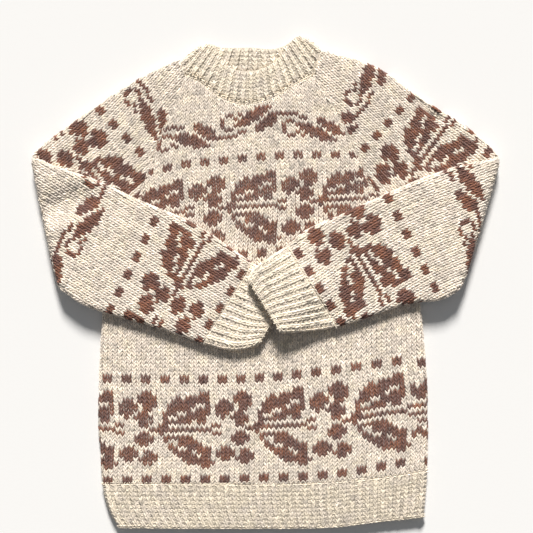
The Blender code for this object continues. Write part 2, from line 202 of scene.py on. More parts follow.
SLEEVES = {
    "left": {
        "upper_top": ((-131, 333), (-188, 306), (-248, 268), (-307, 226), (-343, 198)),
        "fold": ((-339, 181), (-297, -18)),
        "lower_top": ((-339, 181), (-303, 167), (-265, 156), (-188, 120), (-98, 82), (-49, 46), (-19, 27)),
        "lower_under": ((-297, -18), (-277, -34), (-246, -45), (-173, -66), (-94, -93)),
        "cuff_top": ((-19, 27), (12, 8), (41, -13)),
        "cuff_under": ((-94, -93), (-46, -104), (-13, -97)),
    },
    "right": {
        "upper_top": (
            (84, 347), (127, 336), (172, 321), (202, 299), (247, 265), (292, 240), (322, 218), (344, 196),
        ),
        "fold": ((340, 181), (283, -17)),
        "lower_top": (
            (340, 181), (308, 177), (256, 162), (181, 131), (127, 105), (86, 88), (55, 75), (31, 52),
        ),
        "lower_under": ((283, -17), (264, -29), (232, -30), (191, -40), (164, -50), (107, -69)),
        "cuff_top": ((31, 52), (1, 32), (-19, 19), (-27, 4)),
        "cuff_under": ((107, -69), (66, -75), (23, -77)),
    },
}

# Rows of the body, as R, the x of some of its points and their y
BODY_ROWS = (
    (1, (-240, -150, -62, 0, 56, 118, 176, 240), (-300, -298, -297, -295, -294, -288, -278, -266)),
    (14, (-236, -149, -62, -2, 56, 118, 176, 239), (-225, -227, -226, -222, -219, -213, -202, -195)),
    (27, (-240, -120, -35, 20, 74, 137, 199, 240), (-146, -148, -147, -144, -137, -129, -120, -116)),
    (58, (-240, -120, -28, 74, 199, 240), (22, 33, 40, 51, 64, 66)),
    (70, (-240, -165, -110, -40, 28, 100, 146, 240), (90, 97, 102, 108, 112, 119, 121, 126)),
    (84, (-240, -173, -120, -64, -8, 46, 106, 240), (150, 163, 175, 180, 186, 189, 189, 189)),
)

# Columns of the body, as R, some C and their x
MARKED_C = (-6, 14, 34, 54)
BODY_COLUMNS = (
    (1, MARKED_C, (-222, -76, 71, 217)),
    (14, MARKED_C, (-218, -73, 70, 221)),
    (27, MARKED_C, (-223, -79, 61, 212)),
    (58, MARKED_C, (-219, -77, 66, 209)),
    (70, MARKED_C, (-212, -71, 66, 202)),
    (84, MARKED_C, (-218, -77, 63, 203)),
    (97, MARKED_C, (-206, -74, 55, 187)),
)

# Sleeve rows, as R and the x, y points of C = -SLEEVE_MARK and of C = SLEEVE_MARK
SLEEVE_MARK = 8
SLEEVE_ROWS = {
    ("left", "lower"): (
        (1, -99.8, -90, -35.3, 9), (27, -218.3, -16.5, -165.8, 88.5), (44, -297, 31.5, -249, 139.5),
    ),
    ("right", "lower"): (
        (1, 32.8, 66, 96.8, -36), (27, 168.8, 150, 224.3, 43.5), (45, 282.8, 196.5, 312.8, 82.5),
    ),
    ("left", "upper"): (
        (5, -362.9, 198, -293.9, 105), (27, -267.8, 276, -188.3, 193.5), (40, -216, 330, -138, 249),
    ),
    ("right", "upper"): (
        (5, 246.8, 94.5, 315.8, 205.5), (27, 149.3, 199.5, 218.3, 274.5), (40, 92.3, 246, 167.3, 325.5),
    ),
}

# Motifs, charted from the top row down. A brown stitch is a #.
DOTS = ("##..", "##..")
FLOWER = """
#..........##......#
##....#.#####.....##
##...########..##.##
##..######..#.####.#
#...#####.###.####.#
...###..#####.###.##
#..#..######...#.###
#..######.##......##
..##.........##...##
#############.......
..#..........##...##
#..######........###
#..#..####.......###
....#.#####.......##
....##..#####..##...
#....####.###.####.#
##....####.##.####.#
##.....######..##.##
#.......######.....#
...........##.......
""".split()
# A leaf and its stem in two strands, with a ring of open stitches at its tip
HALF_VINE = """
........####..
.##.#.#####...
#..#.#####.###
#...#####.###.
#..####..####.
.##.....####..
....##..##....
####..........
..............
..............
""".split()
VINE = tuple(turned + row for row, turned in zip(HALF_VINE, HALF_VINE[::-1]))

# Column of the body from which its right edge shows the back's bands
SIDE_COLUMN = 55
# Bands of motifs, as chart, first row and the column that the chart starts at
BANDS = {
    "front": (
        (DOTS, 0, -1), (FLOWER, 4, 0), (DOTS, 26, -1), (DOTS, 57, -1), (FLOWER, 60, 14), (DOTS, 83, -1),
        (VINE, 88, 1),
    ),
    "back": ((DOTS, -1, 1), (FLOWER, 3, 11), (DOTS, 25, 0), (DOTS, 57, -1), (FLOWER, 60, 14), (DOTS, 83, -1)),
    ("left", "lower"): ((DOTS, 0, -1), (FLOWER, 3, -3), (DOTS, 26, -1), (VINE, 40, -7)),
    ("right", "lower"): ((DOTS, 0, -1), (FLOWER, 3, -1), (DOTS, 26, -1), (VINE, 39, -22)),
    ("left", "upper"): ((DOTS, 0, -1), (FLOWER, 4, 0), (DOTS, 26, -1), (VINE, 32, -3)),
    ("right", "upper"): ((DOTS, 0, -1), (FLOWER, 4, -5), (DOTS, 26, -1), (VINE, 32, -17)),
}

# Cloth, as node, subdivision, and the cut's width, length and area in metres
CLOTHS = (
    ("body_back", 1, 0.50, 0.62, 0.250),
    ("body_front", 2, 0.50, 0.61, 0.246),
    ("hem_back", 1, 0.50, 0.072, 0.033),
    ("hem_front", 1, 0.50, 0.072, 0.033),
    ("sleeve_left", 2, 0.45, 0.56, 0.180),
    ("sleeve_right", 2, 0.45, 0.56, 0.186),
    ("cuff_left", 1, 0.26, 0.078, 0.019),
    ("cuff_right", 1, 0.26, 0.078, 0.0195),
    ("collar", 1, 0.50, 0.052, 0.023),
)
RIBBED = ("hem_back", "hem_front", "cuff_left", "cuff_right", "collar")

# Fine folds, as start x, y, end x, y, half width, rise and the heights between which they lie
FINE_FOLDS = {
    "sleeve_left": ((-318, 110, -274, 124, 22, -7.0, 17, 60), (-328, 76, -272, 92, 12, 1.5, 17, 60)),
    "sleeve_right": ((232, 270, 256, 244, 7, -6.5, 5, 14), (300, 200, 330, 190, 10, 1.0, 5, 14)),
}


def amount(name, description, default, **more):
    """A setting that is a number."""
    return FloatProperty(name=name, description=description, default=default, **more)


def whole(name, description, default, least=0):
    """A setting that is a whole number."""
    return IntProperty(name=name, description=description, default=default, min=least)


def dye(name, description, default):
    """A setting that is a colour."""
    return FloatVectorProperty(name=name, description=description, subtype="COLOR", size=3, default=default)


class PULLOVER_PG_yarn(bpy.types.PropertyGroup):
    """Sizes and colours of the yarn and its stitches."""

    leg_width: amount("Leg width", "Width of a leg as a share of the stitch", 0.46)
    leg_depth: amount("Leg depth", "Thickness of a leg above the cloth", 0.0026, unit="LENGTH")
    reach: amount("Reach", "Length of a leg in rows", 1.48)
    lean: amount("Lean", "Spread of the legs' ends as a share of the stitch", 0.4)
    sink: amount("Sink", "Dip of a leg's ends under its neighbours", 0.0005, unit="LENGTH")
    sides: whole("Sides", "Sides of a leg's section", 4, 3)
    steps: whole("Steps", "Steps along a leg", 3, 2)
    wobble: amount("Wobble", "Uneven turning of hand-made stitches", 0.15, unit="ROTATION")
    unevenness: amount("Unevenness", "Spread of tone between stitches", 0.12)
    # Painted shade: the cloth seen between the stitches is darkened by this share, standing for the shade in
    # the gaps
    shade: amount("Shade", "How much darker the cloth is than its yarn", 0.25)
    seed: whole("Seed", "Seed of the uneven stitches", 7)
    cream: dye("Cream", "Undyed cream wool", (0.83, 0.73, 0.625))
    warm_cream: dye("Warm cream", "Yellower wool of the ribs", (0.90, 0.79, 0.63))
    brown: dye("Brown", "Brown wool of the motifs", (0.162, 0.075, 0.057))
    rust: dye("Rust", "Redder lengths of the brown wool", (0.27, 0.105, 0.055))


class PULLOVER_PG_stage(bpy.types.PropertyGroup):
    """Camera and light."""

    lens: amount("Lens", "Focal length in millimetres", 80.0)
    view_width: amount("View width", "Width of the view on the cloth", 0.7995, unit="LENGTH")
    sun: amount("Window light", "Strength of the main light", 5.85)
    softness: amount("Softness", "Width of the main light", math.radians(13), unit="ROTATION")
    elevation: amount("Elevation", "Height of the light over the floor", math.radians(29), unit="ROTATION")
    heading: amount("Heading", "Turn of the main light from the neck's side", 0.0, unit="ROTATION")
    fill: amount("Fill", "Strength of the light from all round", 0.18)


def spline(knots, values, at):
    """Smooth values between knots, and straight on beyond them."""
    knots, values, at = np.asarray(knots, float), np.asarray(values, float), np.asarray(at, float)
    values = values.reshape(len(knots), -1)
    slopes = np.gradient(values, knots, axis=0)
    i = np.clip(np.searchsorted(knots, at, side="right") - 1, 0, len(knots) - 2)
    span = (knots[i + 1] - knots[i])[..., None]
    s = (at[..., None] - knots[i][..., None]) / span
    t = np.clip(s, 0, 1)
    smooth = (1 + 2 * t) * (1 - t) ** 2 * values[i] + t * (1 - t) ** 2 * span * slopes[i]
    smooth += t * t * (3 - 2 * t) * values[i + 1] + t * t * (t - 1) * span * slopes[i + 1]
    end_slope = np.where(s < 0, slopes[i], slopes[i + 1])
    return smooth + (s - t) * span * end_slope


def through(points):
    """A smooth curve through x, y points, called with an array of shares of its length."""
    points = np.array(points, float) - CENTRE
    steps = np.linalg.norm(np.diff(points, axis=0), axis=1)
    knots = np.concatenate([[0], np.cumsum(steps)]) / steps.sum()
    return lambda share: spline(knots, points, share)


def chain(*curves):
    """Curves that follow each other, called as one by their lengths."""
    many = np.linspace(0, 1, CHAIN_SAMPLES)
    lengths = [np.linalg.norm(np.diff(curve(many), axis=0), axis=1).sum() for curve in curves]
    ends = np.concatenate([[0], np.cumsum(lengths)]) / sum(lengths)

    def at(share):
        i = np.clip(np.searchsorted(ends, share, side="right") - 1, 0, len(curves) - 1)
        local = (share - ends[i]) / (ends[i + 1] - ends[i])
        chosen = [(i == k)[..., None] for k in range(len(curves))]
        return np.select(chosen, [curve(local) for curve in curves])

    return at


def patch(start, end, first, second):
    """The flat surface between four curves: start and end run across it, first and second along it."""

    def at(across, along):
        a, b = across[..., None], along[..., None]
        nought, one = np.zeros_like(across), np.ones_like(across)
        lengthwise = (1 - b) * start(across) + b * end(across)
        crosswise = (1 - a) * first(along) + a * second(along)
        corners = (1 - b) * ((1 - a) * start(nought) + a * start(one))
        corners += b * ((1 - a) * end(nought) + a * end(one))
        return lengthwise + crosswise - corners

    return at


def between_rows(table, place, r):
    """The value that a table of rows gives at a place, straight between its rows and beyond them."""
    rows = np.array([row for row, *_ in table], float)
    values = np.array([spline(marks, heights, place)[..., 0] for _, marks, heights in table])
    i = np.clip(np.searchsorted(rows, r, side="right") - 1, 0, len(rows) - 2)
    share = (r - rows[i]) / (rows[i + 1] - rows[i])
    low, high = np.take_along_axis(values, i[None], 0)[0], np.take_along_axis(values, i[None] + 1, 0)[0]
    return (1 - share) * low + share * high


def body_lattice(c, r):
    """Where stitch c of row r lies on the body, laid flat."""
    x = between_rows(BODY_COLUMNS, c, r)
    return np.stack([x, between_rows(BODY_ROWS, x, r)], -1) - CENTRE


def sleeve_lattice(key):
    """Where stitches lie on one part of a sleeve, laid flat."""
    table = np.array(SLEEVE_ROWS[key], float)

    def at(c, r):
        ends = spline(table[:, 0], table[:, 1:], r)
        share = ((c + SLEEVE_MARK) / (2 * SLEEVE_MARK))[..., None]
        return (1 - share) * ends[..., :2] + share * ends[..., 2:] - CENTRE

    return at


def is_brown(bands, c, r):
    """True where the chart of a band has a brown stitch."""
    brown = np.zeros(c.shape, bool)
    for chart, first, start in bands:
        marks = np.array([[mark == "#" for mark in row] for row in chart[::-1]])
        row = r - first
        inside = (row >= 0) & (row < len(marks))
        brown |= inside & marks[np.clip(row, 0, len(marks) - 1), (c - start) % marks.shape[1]]
    return brown


def turned_edge(points, radius=HALF, inset=HALF):
    """The axis that an edge of cloth turns round, with the cloth on its left, and the radius of the turn."""
    line = through(points)(np.linspace(0, 1, EDGE_SAMPLES))
    run = np.gradient(line, axis=0)
    outward = np.stack([run[:, 1], -run[:, 0]], 1) / np.linalg.norm(run, axis=1)[:, None]
    line = line - inset * outward
    return line[:-1], line[1:], radius


class Wrap:
    """Carries flat places over the top and the turned edges of one piece of cloth."""

    def __init__(self, tree, edges=(), lowest=0.0, highest=SKY, most_turn=0.0):
        self.tree = tree
        self.edges = edges
        self.lowest, self.highest = lowest, highest
        self.most_turn = math.radians(most_turn)

    def beyond(self, point):
        """How far a place is beyond the axis of the turned edge that it is furthest past."""
        best = (-math.inf, None, 1.0)
        for starts, ends, radius in self.edges:
            run = ends - starts
            size = (run**2).sum(1)
            share = np.clip(((point - starts) * run).sum(1) / size, 0, 1)
            gap = point - starts - share[:, None] * run
            away = np.linalg.norm(gap, axis=1)
            i = int(away.argmin())
            normal = np.array((run[i, 1], -run[i, 0])) / math.sqrt(size[i])
            signed = math.copysign(away[i], gap[i] @ normal)
            if signed > best[0]:
                best = (signed, normal, radius)
        return best

    def top_at(self, flat):
        """Place and normal of the cloth straight below a flat place, or None twice."""
        hit, face, _, _ = self.tree.ray_cast(Vector((*(MM * flat), MM * CAST_HEIGHT)), -UP)
        if hit is None or not self.lowest * MM < hit.z < self.highest * MM:
            return None, None
        return hit, face

    def place(self, flat, ahead):
        """Place, direction of knitting and outward normal of a stitch, or None where there is no cloth."""
        past, normal, radius = self.beyond(flat)
        angle = past / radius
        if angle <= 0:
            hit, out = self.top_at(flat)
            if hit is None:
                return None
            forward = Vector((*ahead, 0))
        elif angle < self.most_turn:
            axis = flat - past * normal
            top, _ = self.top_at(axis - normal)
            if top is None:
                return None
            out = Vector((*(math.sin(angle) * normal), math.cos(angle)))
            middle = Vector((*(MM * axis), top.z - MM * radius))
            start = middle + MM * (radius + TURN_START) * out
            hit, face, _, _ = self.tree.ray_cast(start, -out, MM * TURN_REACH)
            if hit is None:
                return None
            beside = np.array((-normal[1], normal[0]))
            over = float(ahead @ normal)
            forward = Vector((*((ahead @ beside) * beside), 0))
            forward += Vector((*(over * math.cos(angle) * normal), -over * math.sin(angle)))
            out = (out + face).normalized()
        else:
            return None
        forward -= forward.dot(out) * out
        return (hit, forward.normalized(), out) if forward.length > 0 else None


class Graph:
    """Adds nodes to a tree and links them."""

    def __init__(self, tree):
        self.nodes, self.links = tree.nodes, tree.links

    def add(self, kind, inputs=(), **settings):
        made = self.nodes.new(kind)
        for key, value in settings.items():
            setattr(made, key, value)
        for key, value in dict(inputs).items():
            self.feed(made.inputs[key], value)
        return made

    def feed(self, socket, value):
        if isinstance(value, bpy.types.NodeSocket):
            self.links.new(value, socket)
        else:
            socket.default_value = value

    def maths(self, kind, *values):
        return self.add("ShaderNodeMath", enumerate(values), operation=kind).outputs[0]

    def vector(self, x, y, z):
        return self.add("ShaderNodeCombineXYZ", enumerate((x, y, z))).outputs[0]

    def noise(self, place, scale, detail):
        made = self.add("ShaderNodeTexNoise", {"Vector": place, "Scale": scale, "Detail": detail})
        return made.outputs["Fac"]

    def mixed(self, share, first, second, kind="MIX"):
        made = self.add("ShaderNodeMix", {0: share, 6: first, 7: second}, data_type="RGBA", blend_type=kind)
        return made.outputs[2]

    def bump(self, shader, strength, depth, height):
        made = self.add("ShaderNodeBump", {"Strength": strength, "Distance": depth, "Height": height})
        self.feed(shader.inputs["Normal"], made.outputs[0])


def new_material(name, settings):
    """A material, the graph of its nodes, and its shader with some inputs set."""
    material = bpy.data.materials.new(name)
    material.use_nodes = True
    graph = Graph(material.node_tree)
    shader = graph.nodes["Principled BSDF"]
    for socket, value in settings.items():
        shader.inputs[socket].default_value = value
    return material, graph, shader


def add_object(name, data):
    """A new object in the scene."""
    made = bpy.data.objects.new(name, data)
    bpy.context.scene.collection.objects.link(made)
    return made


def stitch_relief(graph):
    """Height of the knitted Vs, from the knit UV map."""
    uv = graph.add("ShaderNodeUVMap", uv_map="knit").outputs[0]
    split = graph.add("ShaderNodeSeparateXYZ", {0: uv}).outputs
    across = graph.maths("ABSOLUTE", graph.maths("SUBTRACT", graph.maths("FRACT", split[0]), 0.5))
    legs = graph.maths("ABSOLUTE", graph.maths("SINE", graph.maths("MULTIPLY", across, 2 * math.pi)))
    slant = graph.maths("SUBTRACT", split[1], graph.maths("MULTIPLY", across, 1.5))
    rungs = graph.maths("ABSOLUTE", graph.maths("SINE", graph.maths("MULTIPLY", slant, math.pi)))
    return graph.maths("MULTIPLY", graph.maths("POWER", legs, 0.5), graph.maths("POWER", rungs, 0.5))


def wool(name, colour, second, second_share, is_cloth):
    """Matt heathered wool: cloth has its stitches as a bump, and yarn has its own tone in each stitch."""
    settings = {"Roughness": 0.92, "Sheen Weight": 0.3, "Sheen Roughness": 0.6, "Specular IOR Level": 0.15}
    material, graph, shader = new_material(name, settings)
    place = graph.add("ShaderNodeTexCoord").outputs["Object"]
    patches = graph.noise(place, *PATCH_NOISE)
    patches = graph.maths("MULTIPLY_ADD", patches, PATCH_CONTRAST, second_share - PATCH_CONTRAST / 2)
    share = graph.add("ShaderNodeClamp", {"Value": patches}).outputs[0]
    base = graph.mixed(share, (*colour, 1), (*second, 1))
    flecks = graph.maths("MULTIPLY_ADD", graph.noise(place, *FLECK_NOISE), *FLECK_RANGE)
    if is_cloth:
        motif = graph.add("ShaderNodeAttribute", attribute_name="motif").outputs["Fac"]
        base = graph.mixed(motif, base, (*bpy.context.scene.pullover_yarn.brown, 1))
    else:
        tone = graph.add("ShaderNodeAttribute", attribute_name="tone").outputs["Fac"]
        flecks = graph.maths("MULTIPLY", flecks, tone)
    shade = graph.vector(flecks, flecks, flecks)
    graph.feed(shader.inputs["Base Color"], graph.mixed(1.0, base, shade, "MULTIPLY"))
    height, depth = graph.noise(place, *FUZZ_NOISE), YARN_BUMP
    if is_cloth:
        height, depth = graph.maths("MULTIPLY_ADD", height, FUZZ_SHARE, stitch_relief(graph)), CLOTH_BUMP
    graph.bump(shader, 0.6, depth, height)
    return material


def blend(first, second, share):
    """A colour between two, at a share of the way."""
    return tuple((1 - share) * a + share * b for a, b in zip(first, second))


def finish_of(name):
    """One of the finishes of the pullover, made when it is first asked for."""
    if name in bpy.data.materials:
        return bpy.data.materials[name]
    yarn = bpy.context.scene.pullover_yarn
    cream, warm, brown, rust = (tuple(part) for part in (yarn.cream, yarn.warm_cream, yarn.brown, yarn.rust))
    black = (0, 0, 0)
    if name == "brown_wool":
        return wool(name, brown, rust, RUST_SHARE, False)
    first, second = (warm, cream) if name.startswith(("rib", "hem")) else (cream, warm)
    # Painted shade: the hem's wool is a darker copy of the rib wool, as the low hem catches less light
    if name.startswith("hem"):
        first, second = blend(black, first, SHADED_HEM_BRIGHTNESS), blend(black, second, SHADED_HEM_BRIGHTNESS)
    # Painted shade: the cloth between the stitches is darkened by the yarn's shade, standing for the shade in
    # the gaps
    if name.endswith("cloth"):
        first, second = blend(first, black, yarn.shade), blend(second, black, yarn.shade)
    return wool(name, first, second, WARM_SHARE, name.endswith("cloth"))


def press_folds(mesh, folds):
    """Raises or sinks the upper wall of a cloth along its finest folds."""
    places = np.array([vertex.co for vertex in mesh.vertices]) / MM
    for x0, y0, x1, y1, half_width, rise, lowest, highest in folds:
        start, run = np.array((x0, y0)) - CENTRE, np.array((x1 - x0, y1 - y0))
        share = np.clip((places[:, :2] - start) @ run / (run @ run), 0, 1)
        away = np.linalg.norm(places[:, :2] - start - share[:, None] * run, axis=1) / half_width
        is_upper = np.clip((places[:, 2] - lowest) / FOLD_FADE, 0, 1) * (places[:, 2] < highest)
        places[:, 2] += rise * np.exp(-(away**2)) * is_upper
    mesh.vertices.foreach_set("co", (places * MM).ravel().astype(np.float32))
    mesh.update()


def add_knit_uv(mesh, node):
    """A UV map in stitches and rows, turned to run along each part of a sleeve."""
    turns = {"upper": 0.0, "lower": 0.0}
    if node.startswith(("sleeve", "cuff")):
        for part in turns:
            _, x0, y0, x1, y1 = SLEEVE_ROWS[(node.split("_")[1], part)][1]
            turns[part] = math.atan2(y1 - y0, x1 - x0)
    places = np.array([vertex.co for vertex in mesh.vertices]) / MM
    corners = np.array([loop.vertex_index for loop in mesh.loops])
    middle = np.repeat([face.center.z for face in mesh.polygons], [face.loop_total for face in mesh.polygons])
    turn = np.where(middle > MM * (FLAT + LAYER_GAP), turns["lower"], turns["upper"])
    x, y = places[corners, 0], places[corners, 1]
    across = (x * np.cos(turn) + y * np.sin(turn)) / STITCH
    along = (y * np.cos(turn) - x * np.sin(turn)) / ROW
    layer = mesh.uv_layers.new(name="knit")
    layer.data.foreach_set("uv", np.stack([across, along], 1).ravel().astype(np.float32))


def add_cloth(node, levels):
    """The softly rounded wall of cloth that stands for a CAD node."""
    name = node + "_cloth"
    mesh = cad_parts[node].data.copy()
    shape = bmesh.new()
    shape.from_mesh(mesh)
    bmesh.ops.remove_doubles(shape, verts=shape.verts, dist=1e-5)
    most = {"angle_face_threshold": math.radians(50), "angle_shape_threshold": math.radians(60)}
    bmesh.ops.join_triangles(shape, faces=shape.faces, **most)
    shape.to_mesh(mesh)
    shape.free()
    mesh.shade_smooth()
    piece = add_object(name, mesh)
    soft = piece.modifiers.new("Soft", "SUBSURF")
    soft.levels = soft.render_levels = levels
    settle(piece, name)
    press_folds(piece.data, FINE_FOLDS.get(node, ()))
    piece.data.materials.clear()
    piece.data.materials.append(finish_of("rib_cloth" if node in RIBBED else "cream_cloth"))
    add_knit_uv(piece.data, node)
    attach(piece, "root")
    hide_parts(node)


def settle(piece, name):
    """Turns a piece and its modifiers into a plain mesh."""
    graph = bpy.context.evaluated_depsgraph_get()
    mesh = bpy.data.meshes.new_from_object(piece.evaluated_get(graph))
    if not mesh.polygons:
        raise RuntimeError(f"{name} has no faces")
    piece.modifiers.clear()
    piece.data = mesh
    mesh.name = name


def faces_of(*nodes):
    """The faces of some cloths, to lay stitches on or to look past."""
    shape = bmesh.new()
    for node in nodes:
        name = node + "_cloth"
        if name not in bpy.data.objects:
            raise RuntimeError(f"{name} is missing: lay the cloth first")
        shape.from_mesh(bpy.data.objects[name].data)
    tree = BVHTree.FromBMesh(shape)
    shape.free()
    return tree


def all_faces():
    """The faces of every cloth, any of which may hide a stitch."""
    return faces_of(*(node for node, *_ in CLOTHS))


def sight_lines():
    """Directions from which the pullover may be looked at."""
    lines = [UP]
    for rise in SIGHT_RISES:
        level = math.cos(rise)
        for turn in np.linspace(0, 2 * math.pi, SIGHT_TURNS, endpoint=False):
            lines.append(Vector((level * math.cos(turn), level * math.sin(turn), math.sin(rise))))
    return lines


SIGHT_LINES = sight_lines()


def can_be_seen(cover, place, out):
    """True unless cloth hides a stitch from every side."""
    start = place + SIGHT_START * MM * out
    reach = SIGHT_REACH * MM
    facing = (line for line in SIGHT_LINES if out.dot(line) > LEAST_FACING)
    return any(cover.ray_cast(start, line, reach)[0] is None for line in facing)


def stitch(place, forward, out, width, height, is_motif=False):
    """The numbers of one stitch: place, turn, size and whether it belongs to a motif."""
    turn = Matrix((forward.cross(out), forward, out)).transposed().to_quaternion()
    return (*place, *turn, MM * width, MM * height, is_motif)


def lay_stitches(wrap, cover, lattice, columns, rows, bands=(), width_share=1.0, purl_sink=None):
    """The stitches of a lattice that lie on a cloth and can be seen. Purl stitches lie across and sunk."""
    c, r = (part.ravel() for part in np.meshgrid(np.arange(*columns), np.arange(*rows)))
    middle_c, middle_r = c + 0.5, r + 0.5
    flat = lattice(middle_c, middle_r)
    ahead = lattice(middle_c, middle_r + 0.5) - lattice(middle_c, middle_r - 0.5)
    beside = lattice(middle_c + 0.5, middle_r) - lattice(middle_c - 0.5, middle_r)
    widths = width_share * np.linalg.norm(beside, axis=1)
    heights = np.linalg.norm(ahead, axis=1)
    brown = is_brown(bands, c, r)
    found = []
    for index in range(len(flat)):
        laid = wrap.place(flat[index], ahead[index])
        if laid is None or not can_be_seen(cover, laid[0], laid[2]):
            continue
        place, forward, out = laid
        if purl_sink is not None:
            place = place - purl_sink * MM * out
            found.append(stitch(place, forward.cross(out), out, heights[index], widths[index]))
        else:
            found.append(stitch(place, forward, out, widths[index], heights[index], brown[index]))
    if not found:
        raise RuntimeError("no stitch lies on this cloth")
    return np.array(found, float)


def lay_seam(wrap, cover, points):
    """A column of stitches along a seam, level with the higher cloth beside it."""
    line = through(points)
    steps = np.diff(line(np.linspace(0, 1, EDGE_SAMPLES)), axis=0)
    count = round(np.linalg.norm(steps, axis=1).sum() / SEAM_PITCH)
    found = []
    for share in (np.arange(count) + 0.5) / count:
        start, spot, end = line(share + np.array((-0.5, 0, 0.5)) / count)
        ahead = Vector((*(end - start), 0)).normalized()
        beside = SEAM_REACH * np.array((ahead.y, -ahead.x))
        tops = [wrap.top_at(spot + beside)[0], wrap.top_at(spot - beside)[0]]
        heights = [top.z for top in tops if top]
        if not heights:
            continue
        place = Vector((*(MM * spot), max(heights) - SEAM_SINK * MM))
        if can_be_seen(cover, place + MM * UP, UP):
            found.append(stitch(place, ahead, UP, SEAM_WIDTH, SEAM_PITCH))
    return np.array(found, float)


def stitch_tree():
    """Geometry Nodes that knit a V of two legs of yarn on each point."""
    name = "Knit stitches"
    if name in bpy.data.node_groups:
        return bpy.data.node_groups[name]
    tree = bpy.data.node_groups.new(name, "GeometryNodeTree")
    for socket, kind in STITCH_INPUTS:
        tree.interface.new_socket(socket, in_out="INPUT", socket_type="NodeSocket" + kind)
    tree.interface.new_socket("Stitches", in_out="OUTPUT", socket_type="NodeSocketGeometry")
    graph = Graph(tree)
    given = graph.add("NodeGroupInput").outputs
    stretch = graph.maths("DIVIDE", given["Leg Depth"], given["Leg Width"])
    sink = graph.maths("DIVIDE", given["Sink"], stretch)
    low = graph.maths("MULTIPLY", sink, -1.0)
    up = graph.maths("MULTIPLY", given["Reach"], 0.5)
    down = graph.maths("MULTIPLY", given["Reach"], -0.5)
    along = graph.add("GeometryNodeSplineParameter").outputs["Factor"]
    swell = graph.maths("POWER", graph.maths("SINE", graph.maths("MULTIPLY", along, math.pi)), 0.6)
    thickness = graph.maths("MULTIPLY_ADD", swell, 1 - LEG_TIP, LEG_TIP)
    radius = graph.maths("MULTIPLY", given["Leg Width"], 0.5)
    ring = graph.add("GeometryNodeCurvePrimitiveCircle", {"Resolution": given["Sides"], "Radius": radius})
    both = graph.add("GeometryNodeJoinGeometry")
    for side in (-1, 1):
        foot, knee, head = (graph.maths("MULTIPLY", given["Lean"], side * share) for share in LEG_BENDS)
        bend = {
            "Resolution": given["Steps"],
            "Start": graph.vector(foot, down, low),
            "Middle": graph.vector(knee, 0.0, sink),
            "End": graph.vector(head, up, low),
        }
        line = graph.add("GeometryNodeCurveQuadraticBezier", bend).outputs[0]
        sweep = {"Curve": line, "Profile Curve": ring.outputs[0], "Scale": thickness, "Fill Caps": True}
        leg = graph.add("GeometryNodeCurveToMesh", sweep)
        graph.links.new(leg.outputs[0], both.inputs[0])
    field = "GeometryNodeInputNamedAttribute"
    turn = graph.add(field, {"Name": "turn"}, data_type="QUATERNION").outputs[0]
    size = graph.add(field, {"Name": "size"}, data_type="FLOAT_VECTOR").outputs[0]
    factors = {0: size, 1: graph.vector(1.0, 1.0, stretch)}
    scale = graph.add("ShaderNodeVectorMath", factors, operation="MULTIPLY").outputs[0]
    most = graph.vector(*[given["Wobble"]] * 3)
    least = graph.add("ShaderNodeVectorMath", {0: most, "Scale": -1.0}, operation="SCALE").outputs[0]
    spread = {0: least, 1: most, "Seed": given["Seed"]}
    uneven = graph.add("FunctionNodeRandomValue", spread, data_type="FLOAT_VECTOR").outputs[0]
    made = given["Points"]
    for kind, inputs in (
        ("InstanceOnPoints", {"Instance": both.outputs[0], "Rotation": turn, "Scale": scale}),
        ("RotateInstances", {"Rotation": uneven, "Local Space": True}),
        ("RealizeInstances", {}),
        ("SetShadeSmooth", {}),
        ("SetMaterial", {"Material": given["Material"]}),
    ):
        made = graph.add("GeometryNode" + kind, {0: made, **inputs}).outputs[0]
    graph.links.new(made, graph.add("NodeGroupOutput").inputs[0])
    return tree


def store(mesh, name, kind, values, field="value"):
    """Keeps a value for each point of a mesh."""
    layer = mesh.attributes.new(name, kind, "POINT")
    layer.data.foreach_set(field, np.ravel(values).astype(np.float32))


def add_stitches(node, kind, stitches, finish, **changes):
    """One piece of yarn that holds every stitch given."""
    name = f"{node}_{kind}"
    yarn = bpy.context.scene.pullover_yarn
    points = bpy.data.meshes.new(name)
    points.from_pydata([tuple(place) for place in stitches[:, PLACE]], [], [])
    store(points, "turn", "QUATERNION", stitches[:, TURN])
    sizes = np.column_stack([stitches[:, SIZE], np.ones(len(stitches))])
    store(points, "size", "FLOAT_VECTOR", sizes, "vector")
    tones = np.random.default_rng(yarn.seed).normal(1.0, yarn.unevenness, len(stitches))
    store(points, "tone", "FLOAT", tones)
    piece = add_object(name, points)
    knit = piece.modifiers.new("Knit", "NODES")
    values = {label: getattr(yarn, label.lower().replace(" ", "_")) for label, _ in STITCH_INPUTS[1:-1]}
    values |= {"Material": finish_of(finish), **changes}
    tree = stitch_tree()
    knit.node_group = tree
    for socket in tree.interface.items_tree:
        if socket.in_out == "INPUT" and socket.name in values:
            knit[socket.identifier] = values[socket.name]
    settle(piece, name)
    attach(piece, "root")


def tint_cloth(node, stitches):
    """Darkens the cloth under brown stitches, as the yarn that they are knitted from goes through it."""
    mesh = bpy.data.objects[node + "_cloth"].data
    places = KDTree(len(stitches))
    for index, each in enumerate(stitches):
        places.insert(each[PLACE], index)
    places.balance()
    motif = np.zeros(len(mesh.vertices))
    for vertex in mesh.vertices:
        _, index, away = places.find(vertex.co)
        motif[vertex.index] = stitches[index, MOTIF] * (away < TINT_REACH * MM)
    store(mesh, "motif", "FLOAT", motif)


def add_motif_stitches(node, stitches):
    """The cream and the brown stitches of a cloth, each as one piece."""
    tint_cloth(node, stitches)
    in_motif = stitches[:, MOTIF] > 0.5
    for colour, chosen in (("cream", ~in_motif), ("brown", in_motif)):
        add_stitches(node, colour + "_stitches", stitches[chosen], colour + "_wool")


